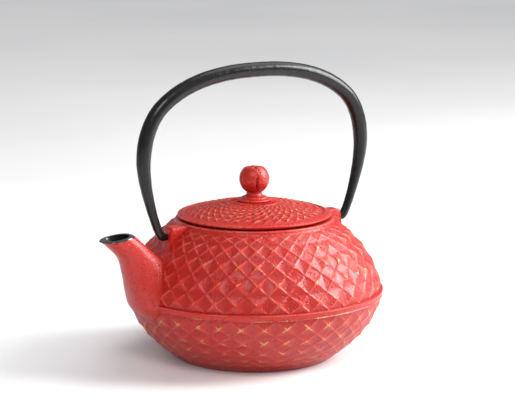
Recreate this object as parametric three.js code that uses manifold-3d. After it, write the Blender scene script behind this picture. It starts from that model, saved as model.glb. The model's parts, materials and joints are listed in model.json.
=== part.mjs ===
// A cast iron teapot with an overhead bail handle, a cast lid and a hanging tea strainer.
// Millimetres, +Z up. The origin is the centre of the foot on the table. The spout points along -X,
// the bail's hinge axis runs along X, and the bail swings towards +Y and -Y.
import * as THREE from "three";
import { mergeVertices } from "three/addons/utils/BufferGeometryUtils.js";
import Module from "manifold-3d";

const wasm = await Module();
wasm.setup();

// ---- Driving dimensions ----

const CLEARANCE = 0.3; // between two pieces that touch

// pot body: the two halves are superellipse arcs that meet at the equator band
const BODY_RADIUS = 75; // outside of the equator band
const EQUATOR_HEIGHT = 38;
const BODY_WALL = 4;
const BODY_ROUNDNESS = 1.8; // exponent of the superellipse, 2 is an ellipse
const BAND_HEIGHT = 3.4;
const BAND_STAND = 0.5; // how far the band stands out of the arcs
const FLOOR_THICKNESS = 4.5;
const FOOT_RADIUS = 46;
const FOOT_CHAMFER = 0.8;
const FOOT_WIDTH = 12; // of the ring that stands on the table
const PAD_RADIUS = 20; // flat pad left at the middle of the underside
const GROOVE_DEPTH = 1.2; // of the groove between pad and foot ring

// mouth
const MOUTH_HEIGHT = 81.2; // top face of the collar, from the table
const COLLAR_HEIGHT = 1.8; // above the shoulder
const COLLAR_WALL = 7; // width of the collar's top face, outside the rebate
const COLLAR_ROUND = 0.8;
const SHOULDER_STEP = 1.3; // width of the step at the collar's foot
const BORE_RADIUS = 35;
const REBATE_WIDTH = 4; // ledge inside the mouth that carries the strainer
const REBATE_DEPTH = 2;
const LEDGE_THICKNESS = 2.8;

// lugs
const LUG_STAND = 5.2; // of the lug's face beyond the shoulder, at the socket
const LUG_LEAN = 1.6; // how much further out the face is at its foot than at its top
const LUG_WIDTH = 8.6;
const LUG_TOP_DROP = 0.4; // below the mouth
const SOCKET_DROP = 6; // of the bail's hinge axis below the mouth
const SOCKET_DEPTH = 5.6;

// bail
const BAIL_PIN_RADIUS = 1.8;
const BAIL_END_RADIUS = 2.5; // at the elbow
const BAIL_BAR_RADIUS = 4.3; // over the top
const BAIL_TAPER = 66; // length of each arm, from the pin's end, over which the bar swells
const BAIL_LEAN = 1.6; // degrees towards -Y, where the bail stands at rest
const BAIL_RISE = 91.8; // of the bar's centre line above the hinge axis
const BAIL_BELLY = 15.2; // of the centre line beyond the lug's face, where the bail is widest

// spout
const SPOUT_OVERHANG = 15.2; // of the opening's middle beyond the equator
const SPOUT_TIP_DROP = 3.1; // of the opening's middle below the mouth
const SPOUT_MOUTH_LENGTH = 19.4;
const SPOUT_MOUTH_WIDTH = 16.7;
const SPOUT_MOUTH_TILT = 7.5; // degrees, outer edge lower
const SPOUT_ROOT_WIDTH = 33;
const SPOUT_LIP_WALL = 2.2;
const SPOUT_BORE_RADIUS = 6.6;

// lid
const LID_SETBACK = 1.4; // of the lid's rim inside the collar's edge
const LID_RIM_HEIGHT = 2.3;
const LID_RIM_ROUND = 0.6;
const LID_CROWN = 6.9; // of the lid's flat centre above the rim's top edge
const LID_THICKNESS = 3.2;
const SKIRT_THICKNESS = 2.2;
const SKIRT_DEPTH = 5;
const SKIRT_CLEARANCE = 0.6;

// knob
const COLLAR_FLANGE_RADIUS = 9.8;
const COLLAR_STEP_RADIUS = 7.2;
const COLLAR_NECK_RADIUS = 4.3;
const COLLAR_FLANGE_THICKNESS = 1.2;
const COLLAR_STEP_THICKNESS = 1.1;
const COLLAR_RISE = 5.2;
const KNOB_RADIUS = 8.5;
const KNOB_TOP_FLAT = 4.8; // radius of the flat on top of the ball
const SCREW_RADIUS = 2;
const SCREW_HOLE_CLEARANCE = 0.35;
const SCREW_ENGAGEMENT = 7; // length inside the knob
const SCREW_HEAD_RADIUS = 4;
const SCREW_HEAD_THICKNESS = 2.4;
const WASHER_RADIUS = 5.6;
const WASHER_THICKNESS = 1;

// strainer
const SHEET = 0.6; // thickness of its wall and floor
const STRAINER_BORE_CLEARANCE = 0.5; // to the mouth's bore
const STRAINER_DEPTH = 40; // from the rebate down to the strainer's lowest face
const STRAINER_FLANGE_THICKNESS = 0.8;
const STRAINER_LIP_DEPTH = 5; // of the rim's inner lip, below the flange
const BASE_RING_WIDTH = 3.6;
const BASE_RING_THICKNESS = 1.2;
const BASE_RING_UPSTAND = 3;

// fineness
const BODY_SIDES = 60;
const ROUND_SIDES = 36;
const ARC_STEPS = 7;

// ---- Places that follow from them ----

const REBATE_HEIGHT = MOUTH_HEIGHT - REBATE_DEPTH;
const REBATE_RADIUS = BORE_RADIUS + REBATE_WIDTH;
const COLLAR_RADIUS = REBATE_RADIUS + COLLAR_WALL;
const SHOULDER_HEIGHT = MOUTH_HEIGHT - COLLAR_HEIGHT;
const PANEL_RADIUS = BODY_RADIUS - BAND_STAND;

// What is left of the whole at a share of it, on the superellipse.
const rest = (share) => (1 - share ** BODY_ROUNDNESS) ** (1 / BODY_ROUNDNESS);

// Full height of each arc from the equator to its pole: the collar and the foot cut them short.
const UPPER_RISE = (SHOULDER_HEIGHT - EQUATOR_HEIGHT) / rest((COLLAR_RADIUS + SHOULDER_STEP) / PANEL_RADIUS);
const LOWER_DROP = (EQUATOR_HEIGHT - FOOT_CHAMFER) / rest(FOOT_RADIUS / PANEL_RADIUS);

const HINGE_HEIGHT = MOUTH_HEIGHT - SOCKET_DROP;
const LUG_REACH = PANEL_RADIUS * rest((HINGE_HEIGHT - EQUATOR_HEIGHT) / UPPER_RISE) + LUG_STAND;
const SPOUT_TIP_REACH = BODY_RADIUS + SPOUT_OVERHANG;
const SPOUT_TIP_HEIGHT = MOUTH_HEIGHT - SPOUT_TIP_DROP;
const LID_RADIUS = COLLAR_RADIUS - LID_SETBACK;
const LID_SEAT = MOUTH_HEIGHT + CLEARANCE;
const STRAINER_RADIUS = BORE_RADIUS - STRAINER_BORE_CLEARANCE;
const STRAINER_INNER = STRAINER_RADIUS - SHEET - CLEARANCE - SHEET;
const FLANGE_BOTTOM = REBATE_HEIGHT + CLEARANCE;
const SCREW_HOLE = SCREW_RADIUS + SCREW_HOLE_CLEARANCE;

// ---- Geometry helpers ----

const degrees = THREE.MathUtils.degToRad;

// A closed geometry as a manifold solid.
function solid(geometry) {
  const bare = geometry.clone();
  bare.deleteAttribute("normal");
  bare.deleteAttribute("uv");
  const merged = mergeVertices(bare, 1e-4);
  return new wasm.Manifold(
    new wasm.Mesh({
      numProp: 3,
      vertProperties: merged.attributes.position.array,
      triVerts: new Uint32Array(merged.index.array),
    }),
  );
}

// A manifold solid back as a geometry.
function geometryOf(body) {
  const mesh = body.getMesh();
  const geometry = new THREE.BufferGeometry();
  geometry.setAttribute("position", new THREE.BufferAttribute(mesh.vertProperties, 3));
  geometry.setIndex(new THREE.BufferAttribute(mesh.triVerts, 1));
  geometry.computeVertexNormals();
  return geometry;
}

// An [r, z] outline turned about the Z axis. It starts and ends on the axis.
function turned(outline, sides = ROUND_SIDES) {
  const points = outline.map(([r, z]) => new THREE.Vector2(r, z));
  return new THREE.LatheGeometry(points, sides).rotateX(Math.PI / 2);
}

// A ring: the outline closes on itself.
function turnedRing(outline, sides = ROUND_SIDES) {
  return turned([...outline, outline[0]], sides);
}

// A skin over rings of equally many points, with a flat fan at each end.
function skinned(rings) {
  const count = rings[0].length;
  const middle = (ring) =>
    ring.reduce((sum, p) => sum.add(p), new THREE.Vector3()).divideScalar(count);
  const points = [...rings.flat(), middle(rings[0]), middle(rings.at(-1))];
  const at = (ring, i) => ring * count + (i % count);
  const last = rings.length - 1;
  const faces = [];
  for (let i = 0; i < count; i++) {
    for (let ring = 0; ring < last; ring++) {
      faces.push(at(ring, i), at(ring, i + 1), at(ring + 1, i + 1));
      faces.push(at(ring, i), at(ring + 1, i + 1), at(ring + 1, i));
    }
    faces.push(points.length - 2, at(0, i + 1), at(0, i));
    faces.push(points.length - 1, at(last, i), at(last, i + 1));
  }
  const geometry = new THREE.BufferGeometry().setFromPoints(points);
  geometry.setIndex(faces);
  geometry.computeVertexNormals();
  return geometry;
}

// Points of an arc between two heights on the same side of the equator. A rise is positive for
// the upper arc and negative for the lower one. The points are pushed in by inset, square to the arc.
function arc(from, to, rise, inset = 0) {
  const power = 2 / BODY_ROUNDNESS;
  const at = (turn) =>
    new THREE.Vector2(
      PANEL_RADIUS * Math.cos(turn) ** power,
      EQUATOR_HEIGHT + rise * Math.sin(turn) ** power,
    );
  const turnAt = (height) => Math.asin(((height - EQUATOR_HEIGHT) / rise) ** (1 / power));
  const [first, last] = [turnAt(from), turnAt(to)];
  return Array.from({ length: ARC_STEPS + 1 }, (_, i) => {
    const turn = THREE.MathUtils.lerp(first, last, i / ARC_STEPS);
    const along = at(turn + 1e-3).sub(at(turn)).normalize();
    const inward = new THREE.Vector2(-Math.abs(along.y), -Math.sign(rise) * Math.abs(along.x));
    return at(turn).addScaledVector(inward, inset).toArray();
  });
}

// ---- Pot casting ----

function bodyOutside() {
  const bandTop = EQUATOR_HEIGHT + BAND_HEIGHT / 2;
  const bandBottom = EQUATOR_HEIGHT - BAND_HEIGHT / 2;
  const lower = arc(bandBottom, FOOT_CHAMFER, -LOWER_DROP).reverse();
  const upper = arc(bandTop, SHOULDER_HEIGHT, UPPER_RISE);
  const footEdge = FOOT_RADIUS - FOOT_CHAMFER;
  const grooveOuter = footEdge - FOOT_WIDTH;
  return solid(
    turned(
      [
        [0, 0],
        [PAD_RADIUS, 0],
        [PAD_RADIUS + GROOVE_DEPTH, GROOVE_DEPTH],
        [grooveOuter - GROOVE_DEPTH, GROOVE_DEPTH],
        [grooveOuter, 0],
        [footEdge, 0],
        ...lower,
        [BODY_RADIUS, bandBottom + BAND_STAND],
        [BODY_RADIUS, bandTop - BAND_STAND],
        ...upper,
        [COLLAR_RADIUS, SHOULDER_HEIGHT],
        [COLLAR_RADIUS, MOUTH_HEIGHT - COLLAR_ROUND],
        [COLLAR_RADIUS - COLLAR_ROUND, MOUTH_HEIGHT],
        [0, MOUTH_HEIGHT],
      ],
      BODY_SIDES,
    ),
  );
}

// The room for the tea, the mouth's bore and the rebate above it.
function bodyInside() {
  const ledgeBottom = REBATE_HEIGHT - LEDGE_THICKNESS;
  const above = MOUTH_HEIGHT + COLLAR_HEIGHT;
  const lower = arc(EQUATOR_HEIGHT - BAND_HEIGHT, 2 * FOOT_CHAMFER, -LOWER_DROP, BODY_WALL)
    .filter(([, z]) => z > FLOOR_THICKNESS)
    .reverse();
  const upper = arc(EQUATOR_HEIGHT + BAND_HEIGHT, SHOULDER_HEIGHT, UPPER_RISE, BODY_WALL)
    .filter(([r, z]) => z < ledgeBottom && r > BORE_RADIUS);
  return solid(
    turned(
      [
        [0, FLOOR_THICKNESS],
        [lower[0][0] - BODY_WALL, FLOOR_THICKNESS],
        ...lower,
        ...upper,
        [BORE_RADIUS, ledgeBottom],
        [BORE_RADIUS, REBATE_HEIGHT],
        [REBATE_RADIUS, REBATE_HEIGHT],
        [REBATE_RADIUS, above],
        [0, above],
      ],
      BODY_SIDES,
    ),
  );
}

// A ring of the spout between its front point and its back point, half as wide as given.
// The exponent squares the ring off, so a soft ridge parts the front face from the sides.
function spoutRing(front, back, halfWidth, squareness = 2.4) {
  const sides = 24;
  return Array.from({ length: sides }, (_, i) => {
    const turn = (2 * Math.PI * i) / sides;
    const along = Math.sign(Math.cos(turn)) * Math.abs(Math.cos(turn)) ** (2 / squareness);
    const across = Math.sign(Math.sin(turn)) * Math.abs(Math.sin(turn)) ** (2 / squareness);
    const share = (1 + along) / 2;
    return new THREE.Vector3(
      THREE.MathUtils.lerp(back.x, front.x, share),
      -across * halfWidth,
      THREE.MathUtils.lerp(back.y, front.y, share),
    );
  });
}

// Front, back and half width of the spout from its root, inside the wall, to its opening.
function spoutStations() {
  const tilt = degrees(SPOUT_MOUTH_TILT);
  const half = SPOUT_MOUTH_LENGTH / 2;
  const reach = (x, z) => new THREE.Vector2(x - SPOUT_TIP_REACH, z + SPOUT_TIP_HEIGHT);
  const tip = (side) => reach(-side * half * Math.cos(tilt), -side * half * Math.sin(tilt));
  const width = SPOUT_MOUTH_WIDTH / 2;
  const root = SPOUT_ROOT_WIDTH / 2;
  return {
    front: new THREE.SplineCurve([
      reach(20, -50),
      reach(11.5, -43),
      reach(7.6, -33),
      reach(4.6, -22),
      reach(1, -11.5),
      tip(1),
    ]),
    back: new THREE.SplineCurve([
      reach(30, -47),
      reach(30, -35),
      reach(30, -25),
      reach(28, -16),
      reach(19.5, -8),
      tip(-1),
    ]),
    width: new THREE.SplineCurve(
      [0.7, 1, 0.9, 0.66].map((share, i) => new THREE.Vector2(i, share * root)).concat([
        new THREE.Vector2(4, width * 1.04),
        new THREE.Vector2(5, width),
      ]),
    ),
  };
}

function spoutOutside() {
  const { front, back, width } = spoutStations();
  const steps = 15;
  const rings = Array.from({ length: steps + 1 }, (_, i) => {
    const t = i / steps;
    return spoutRing(front.getPoint(t), back.getPoint(t), width.getPoint(t).y);
  });
  return solid(skinned(rings));
}

// The passage: it has the opening's outline less the lip, and narrows to a round bore.
function spoutPassage() {
  const tilt = degrees(SPOUT_MOUTH_TILT);
  const route = new THREE.CatmullRomCurve3(
    [
      [34, -40],
      [23, -34],
      [15, -24],
      [10.5, -13],
      [0, 0],
      [-4, 4.5],
    ].map(([x, z]) => new THREE.Vector3(x - SPOUT_TIP_REACH, 0, z + SPOUT_TIP_HEIGHT)),
  );
  const steps = 11;
  const lipLength = SPOUT_MOUTH_LENGTH / 2 - SPOUT_LIP_WALL;
  const lipWidth = SPOUT_MOUTH_WIDTH / 2 - SPOUT_LIP_WALL;
  const rings = Array.from({ length: steps + 1 }, (_, i) => {
    const t = i / steps;
    const share = THREE.MathUtils.smoothstep(t, 0.5, 0.85);
    const length = THREE.MathUtils.lerp(SPOUT_BORE_RADIUS, lipLength, share);
    const width = THREE.MathUtils.lerp(SPOUT_BORE_RADIUS, lipWidth, share);
    const middle = route.getPoint(t);
    const reach = new THREE.Vector2(-Math.cos(tilt), -Math.sin(tilt)).multiplyScalar(length);
    const centre = new THREE.Vector2(middle.x, middle.z);
    return spoutRing(centre.clone().add(reach), centre.clone().sub(reach), width, 2.2);
  });
  return solid(skinned(rings));
}

// One lug: a block on the shoulder whose face leans out towards its foot.
function lug(side) {
  const top = MOUTH_HEIGHT - LUG_TOP_DROP;
  const drop = top - HINGE_HEIGHT;
  const face = (height) => LUG_REACH + (LUG_LEAN * (HINGE_HEIGHT - height)) / (2 * drop);
  const foot = HINGE_HEIGHT - 2 * drop + BODY_WALL / 2;
  const round = 1.2;
  const shape = new THREE.Shape();
  shape.moveTo(COLLAR_RADIUS - 2, top);
  shape.lineTo(COLLAR_RADIUS - 2, foot + BODY_WALL);
  shape.lineTo(face(foot) - BODY_WALL, foot);
  shape.lineTo(face(foot), foot);
  shape.lineTo(face(top - round), top - round);
  shape.quadraticCurveTo(face(top), top, face(top) - round, top);
  shape.closePath();
  const block = new THREE.ExtrudeGeometry(shape, {
    depth: LUG_WIDTH,
    bevelEnabled: false,
    curveSegments: 4,
  });
  block.translate(0, 0, -LUG_WIDTH / 2).rotateX(Math.PI / 2);
  if (side < 0) block.rotateZ(Math.PI);
  return solid(block);
}

function socket(side) {
  const radius = BAIL_PIN_RADIUS + CLEARANCE + 0.1;
  const overrun = 3;
  const hole = new THREE.CylinderGeometry(radius, radius, SOCKET_DEPTH + overrun, 24);
  hole.rotateZ(Math.PI / 2);
  hole.translate(side * (LUG_REACH + (overrun - SOCKET_DEPTH) / 2), 0, HINGE_HEIGHT);
  return solid(hole);
}

// The casting is one piece of iron. It is kept as five solids with a hair's gap between them, so that
// the collision of each one can follow the hollow: a base, two walls, the shoulder and the spout.
const BASE_HEIGHT = FLOOR_THICKNESS + 6;
const SHOULDER_DEPTH = 16; // of the shoulder's solid, below the collar

// The whole casting without its spout.
function potShell() {
  const cast = bodyOutside().add(lug(1)).add(lug(-1));
  const hollow = cast.subtract(bodyInside()).subtract(spoutPassage());
  return hollow.subtract(socket(1)).subtract(socket(-1));
}

// The four layers of the shell, from the table up, by name.
function potLayers() {
  const shell = potShell();
  const splits = [
    -1,
    BASE_HEIGHT,
    EQUATOR_HEIGHT - BAND_HEIGHT / 2,
    SHOULDER_HEIGHT - SHOULDER_DEPTH,
    MOUTH_HEIGHT + 1,
  ];
  return ["pot_base", "pot_lower_wall", "pot_upper_wall", "pot_shoulder"].map((name, i) => [
    name,
    geometryOf(
      shell
        .trimByPlane([0, 0, 1], splits[i] + CLEARANCE / 2)
        .trimByPlane([0, 0, -1], CLEARANCE / 2 - splits[i + 1]),
    ),
  ]);
}

// The spout, with a root that follows the body's outside.
function potSpout() {
  const growth = 1 + CLEARANCE / (MOUTH_HEIGHT - EQUATOR_HEIGHT + BAND_HEIGHT * 4);
  const grown = bodyOutside()
    .translate([0, 0, -EQUATOR_HEIGHT])
    .scale([growth, growth, growth])
    .translate([0, 0, EQUATOR_HEIGHT]);
  return geometryOf(spoutOutside().subtract(grown).subtract(spoutPassage()));
}

// ---- Bail handle ----

// Half of the bail's centre line, from the top down to the end of the pin in the socket.
// Heights are above the hinge axis.
function bailHalf() {
  const pinEnd = LUG_REACH - SOCKET_DEPTH + 2 * CLEARANCE;
  const knee = LUG_REACH + 4.6;
  const spread = LUG_REACH + BAIL_BELLY;
  return [
    [0, BAIL_RISE],
    [0.273 * spread, 0.989 * BAIL_RISE],
    [0.525 * spread, 0.948 * BAIL_RISE],
    [0.738 * spread, 0.872 * BAIL_RISE],
    [0.884 * spread, 0.775 * BAIL_RISE],
    [0.968 * spread, 0.647 * BAIL_RISE],
    [spread, 0.489 * BAIL_RISE],
    [0.985 * spread, 0.358 * BAIL_RISE],
    [0.955 * spread, 0.25 * BAIL_RISE],
    [0.904 * spread, 0.115 * BAIL_RISE],
    [knee, 2.2],
    [(knee + LUG_REACH) / 2 + 0.4, 0.2],
    [LUG_REACH - 1, 0],
    [pinEnd, 0],
  ].map(([x, z]) => new THREE.Vector3(x, 0, z));
}

function bailHandle() {
  const half = bailHalf();
  const other = half.slice(1).map((p) => new THREE.Vector3(-p.x, p.y, p.z));
  const route = new THREE.CatmullRomCurve3([...half.reverse(), ...other], false, "centripetal");
  const steps = 60;
  const sides = 12;
  // the bar is slimmest over the pin and swells to its full size along each arm
  const length = route.getLength();
  // rings lie closer together in the tight bends near the lugs
  const rings = Array.from({ length: steps + 1 }, (_, i) => {
    const even = i / steps;
    const u = even - 0.11 * Math.sin(2 * Math.PI * even);
    const run = length * Math.min(u, 1 - u);
    const elbow = THREE.MathUtils.smoothstep(run, SOCKET_DEPTH - 1, SOCKET_DEPTH + 4);
    const arm = THREE.MathUtils.smoothstep(run, SOCKET_DEPTH + 8, BAIL_TAPER);
    const slim = THREE.MathUtils.lerp(BAIL_PIN_RADIUS, BAIL_END_RADIUS, elbow);
    const radius = THREE.MathUtils.lerp(slim, BAIL_BAR_RADIUS, arm);
    const centre = route.getPointAt(u);
    const along = route.getTangentAt(u);
    const side = new THREE.Vector3(0, 1, 0);
    const out = new THREE.Vector3().crossVectors(side, along);
    return Array.from({ length: sides }, (_, k) => {
      const turn = (2 * Math.PI * k) / sides;
      return centre
        .clone()
        .addScaledVector(side, radius * Math.sin(turn))
        .addScaledVector(out, radius * Math.cos(turn));
    });
  });
  return skinned(rings);
}

// ---- Lid and knob ----

const LID_EDGE = LID_SEAT + LID_RIM_HEIGHT;
const LID_TOP = LID_EDGE + LID_CROWN;
const LID_FLAT = COLLAR_FLANGE_RADIUS + 1.2;
const LID_BOSS = WASHER_RADIUS + 1; // flat under the middle of the lid
const SKIRT_OUTER = STRAINER_INNER - SKIRT_CLEARANCE;

// Height of the lid's dome over its rim edge: a spherical cap from the rim to the flat centre.
function domeHeight(r) {
  const reach = LID_RADIUS - LID_RIM_ROUND;
  const cap = (reach ** 2 - LID_FLAT ** 2 + LID_CROWN ** 2) / (2 * LID_CROWN);
  const ball = Math.hypot(cap, LID_FLAT);
  return LID_TOP - cap + Math.sqrt(ball ** 2 - Math.max(r, LID_FLAT) ** 2);
}

function lid() {
  const dome = (inset) => (r) => [r, domeHeight(r) - inset];
  const between = (from, to, count) =>
    Array.from({ length: count + 1 }, (_, i) => from + ((to - from) * i) / count);
  const outer = between(LID_RADIUS - LID_RIM_ROUND, LID_FLAT, 6).map(dome(0));
  const inner = between(LID_BOSS, SKIRT_OUTER - SKIRT_THICKNESS, 4).map(dome(LID_THICKNESS));
  return turnedRing(
    [
      [SCREW_HOLE, LID_TOP - LID_THICKNESS],
      ...inner,
      [SKIRT_OUTER - SKIRT_THICKNESS, LID_SEAT - SKIRT_DEPTH],
      [SKIRT_OUTER, LID_SEAT - SKIRT_DEPTH],
      [SKIRT_OUTER, LID_SEAT],
      [LID_RADIUS - LID_RIM_ROUND, LID_SEAT],
      [LID_RADIUS, LID_SEAT + LID_RIM_ROUND],
      [LID_RADIUS, LID_EDGE - LID_RIM_ROUND],
      ...outer,
      [SCREW_HOLE, LID_TOP],
    ],
    BODY_SIDES,
  );
}

const COLLAR_SEAT = LID_TOP + CLEARANCE;
const NECK_TOP = COLLAR_SEAT + COLLAR_RISE;
const KNOB_SEAT = NECK_TOP + CLEARANCE;

function knobCollar() {
  const flangeTop = COLLAR_SEAT + COLLAR_FLANGE_THICKNESS;
  const stepTop = flangeTop + COLLAR_STEP_THICKNESS;
  const soft = 0.4;
  return turnedRing([
    [SCREW_HOLE, COLLAR_SEAT],
    [COLLAR_FLANGE_RADIUS - soft, COLLAR_SEAT],
    [COLLAR_FLANGE_RADIUS, COLLAR_SEAT + soft],
    [COLLAR_FLANGE_RADIUS - soft, flangeTop],
    [COLLAR_STEP_RADIUS, flangeTop],
    [COLLAR_STEP_RADIUS - soft, stepTop],
    [COLLAR_NECK_RADIUS + soft, stepTop + soft],
    [COLLAR_NECK_RADIUS - soft, (stepTop + NECK_TOP) / 2],
    [COLLAR_NECK_RADIUS, NECK_TOP],
    [SCREW_HOLE, NECK_TOP],
  ]);
}

// The ball: flat where it sits on the neck and flat on top, with a blind hole for the screw.
function knob() {
  const seatAngle = Math.acos(COLLAR_NECK_RADIUS / KNOB_RADIUS);
  const topAngle = Math.acos(KNOB_TOP_FLAT / KNOB_RADIUS);
  const middle = KNOB_SEAT + KNOB_RADIUS * Math.sin(seatAngle);
  const holeTop = KNOB_SEAT + SCREW_ENGAGEMENT + 1;
  const steps = 10;
  const ball = Array.from({ length: steps + 1 }, (_, i) => {
    const angle = -seatAngle + ((topAngle + seatAngle) * i) / steps;
    return [KNOB_RADIUS * Math.cos(angle), middle + KNOB_RADIUS * Math.sin(angle)];
  });
  return turned([
    [0, holeTop],
    [SCREW_HOLE, holeTop],
    [SCREW_HOLE, KNOB_SEAT],
    ...ball,
    [0, ball.at(-1)[1]],
  ]);
}

const WASHER_TOP = LID_TOP - LID_THICKNESS - CLEARANCE;

function knobWasher() {
  return turnedRing([
    [SCREW_HOLE, WASHER_TOP - WASHER_THICKNESS],
    [WASHER_RADIUS, WASHER_TOP - WASHER_THICKNESS],
    [WASHER_RADIUS, WASHER_TOP],
    [SCREW_HOLE, WASHER_TOP],
  ]);
}

// Pan head screw: the head is under the washer and the shank ends inside the knob.
function knobScrew() {
  const headTop = WASHER_TOP - WASHER_THICKNESS - CLEARANCE;
  const headBottom = headTop - SCREW_HEAD_THICKNESS;
  const soft = 0.9;
  const shankTop = KNOB_SEAT + SCREW_ENGAGEMENT;
  return turned(
    [
      [0, headBottom],
      [SCREW_HEAD_RADIUS - soft, headBottom],
      [SCREW_HEAD_RADIUS, headBottom + soft],
      [SCREW_HEAD_RADIUS, headTop],
      [SCREW_RADIUS, headTop],
      [SCREW_RADIUS, shankTop - 0.5],
      [SCREW_RADIUS - 0.5, shankTop],
      [0, shankTop],
    ],
    24,
  );
}

// ---- Strainer ----

// Flange in the rebate, and a lip that goes down inside the wall.
function infuserRim() {
  const flangeTop = FLANGE_BOTTOM + STRAINER_FLANGE_THICKNESS;
  return turnedRing([
    [STRAINER_INNER, FLANGE_BOTTOM - STRAINER_LIP_DEPTH],
    [STRAINER_INNER + SHEET, FLANGE_BOTTOM - STRAINER_LIP_DEPTH],
    [STRAINER_INNER + SHEET, FLANGE_BOTTOM],
    [REBATE_RADIUS - STRAINER_BORE_CLEARANCE, FLANGE_BOTTOM],
    [REBATE_RADIUS - STRAINER_BORE_CLEARANCE, flangeTop],
    [STRAINER_INNER, flangeTop],
  ]);
}

const BASE_RING_BOTTOM = REBATE_HEIGHT - STRAINER_DEPTH;
const BASE_RING_TOP = BASE_RING_BOTTOM + BASE_RING_THICKNESS;

function infuserWall() {
  return turnedRing([
    [STRAINER_RADIUS - SHEET, BASE_RING_TOP + CLEARANCE],
    [STRAINER_RADIUS, BASE_RING_TOP + CLEARANCE],
    [STRAINER_RADIUS, FLANGE_BOTTOM - CLEARANCE],
    [STRAINER_RADIUS - SHEET, FLANGE_BOTTOM - CLEARANCE],
  ]);
}

// The wall stands on this ring's outer half, and an upstand inside the wall guides it.
function infuserBaseRing() {
  return turnedRing([
    [STRAINER_RADIUS - BASE_RING_WIDTH, BASE_RING_BOTTOM],
    [STRAINER_RADIUS, BASE_RING_BOTTOM],
    [STRAINER_RADIUS, BASE_RING_TOP],
    [STRAINER_INNER + SHEET, BASE_RING_TOP],
    [STRAINER_INNER + SHEET, BASE_RING_TOP + BASE_RING_UPSTAND],
    [STRAINER_INNER, BASE_RING_TOP + BASE_RING_UPSTAND],
    [STRAINER_INNER, BASE_RING_TOP],
    [STRAINER_RADIUS - BASE_RING_WIDTH, BASE_RING_TOP],
  ]);
}

function infuserFloor() {
  const radius = STRAINER_INNER - CLEARANCE;
  return turned([
    [0, BASE_RING_TOP + CLEARANCE],
    [radius, BASE_RING_TOP + CLEARANCE],
    [radius, BASE_RING_TOP + CLEARANCE + SHEET],
    [0, BASE_RING_TOP + CLEARANCE + SHEET],
  ]);
}

// ---- Finishes and assembly ----

const finish = (color, roughness, metalness) =>
  new THREE.MeshStandardMaterial({ color, roughness, metalness });
const redEnamel = () => finish(0xb52c2c, 0.42, 0.1);
const blackSteel = () => finish(0x2a2827, 0.45, 0.6);
const stainless = () => finish(0xc4c6c8, 0.3, 1);

function piece(name, geometry, material) {
  const mesh = new THREE.Mesh(geometry, material);
  mesh.name = name;
  return mesh;
}

const teapot = new THREE.Group();
const pot = new THREE.Group();
for (const [name, geometry] of potLayers()) pot.add(piece(name, geometry, redEnamel()));
pot.add(piece("pot_spout", potSpout(), redEnamel()));

const bail = new THREE.Group();
bail.position.z = HINGE_HEIGHT;
bail.rotation.x = degrees(BAIL_LEAN);
bail.add(piece("bail_handle", bailHandle(), blackSteel()));

const cover = new THREE.Group();
cover.add(
  piece("lid", lid(), redEnamel()),
  piece("knob_collar", knobCollar(), redEnamel()),
  piece("knob", knob(), redEnamel()),
  piece("knob_screw", knobScrew(), stainless()),
  piece("knob_washer", knobWasher(), stainless()),
);

const strainer = new THREE.Group();
strainer.add(
  piece("infuser_rim", infuserRim(), stainless()),
  piece("infuser_wall", infuserWall(), stainless()),
  piece("infuser_base_ring", infuserBaseRing(), stainless()),
  piece("infuser_floor", infuserFloor(), stainless()),
);

teapot.add(pot, bail, cover, strainer);
export default teapot;
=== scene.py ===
# %% [markdown]
# # A red cast iron teapot
# A teapot of this kind is one iron casting with a relief of small pyramids, enamelled red outside
# and black inside. The lid is a second casting with a ball knob screwed on, the handle is a bent
# steel bar, and a stainless strainer hangs in the mouth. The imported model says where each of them
# is, so this lesson loads it first and then builds a finer surface for each piece in its place.

import json
import math

import bpy
import numpy as np
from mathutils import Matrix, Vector

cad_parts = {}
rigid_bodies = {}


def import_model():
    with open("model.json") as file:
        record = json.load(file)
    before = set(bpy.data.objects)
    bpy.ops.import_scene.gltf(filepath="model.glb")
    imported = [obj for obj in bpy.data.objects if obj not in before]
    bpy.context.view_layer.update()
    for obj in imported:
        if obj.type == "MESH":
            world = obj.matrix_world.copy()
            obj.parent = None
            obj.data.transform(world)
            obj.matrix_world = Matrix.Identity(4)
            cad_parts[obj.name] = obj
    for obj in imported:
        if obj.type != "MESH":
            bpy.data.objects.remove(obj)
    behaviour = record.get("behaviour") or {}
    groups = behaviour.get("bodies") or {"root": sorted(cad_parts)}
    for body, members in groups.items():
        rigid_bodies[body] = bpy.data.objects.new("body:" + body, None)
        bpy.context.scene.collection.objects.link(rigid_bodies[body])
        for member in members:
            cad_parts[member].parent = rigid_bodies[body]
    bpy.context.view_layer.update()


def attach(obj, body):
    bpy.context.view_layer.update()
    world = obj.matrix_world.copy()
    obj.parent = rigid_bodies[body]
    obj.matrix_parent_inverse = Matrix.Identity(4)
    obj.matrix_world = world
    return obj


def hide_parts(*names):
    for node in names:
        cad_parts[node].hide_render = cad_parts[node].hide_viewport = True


for leftover in list(bpy.data.objects):
    bpy.data.objects.remove(leftover)
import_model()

# %% [markdown]
# ## Surfaces from arrays
# A turned or swept piece is a grid of points: rows go along its profile and columns go round it.
# Modelling by hand would give the same cage, but a grid worked out with numpy keeps every size in
# millimetres in one place. Faces are triangles, because the crease of a pyramid only stays straight
# if the squares under it are cut along it.

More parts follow.
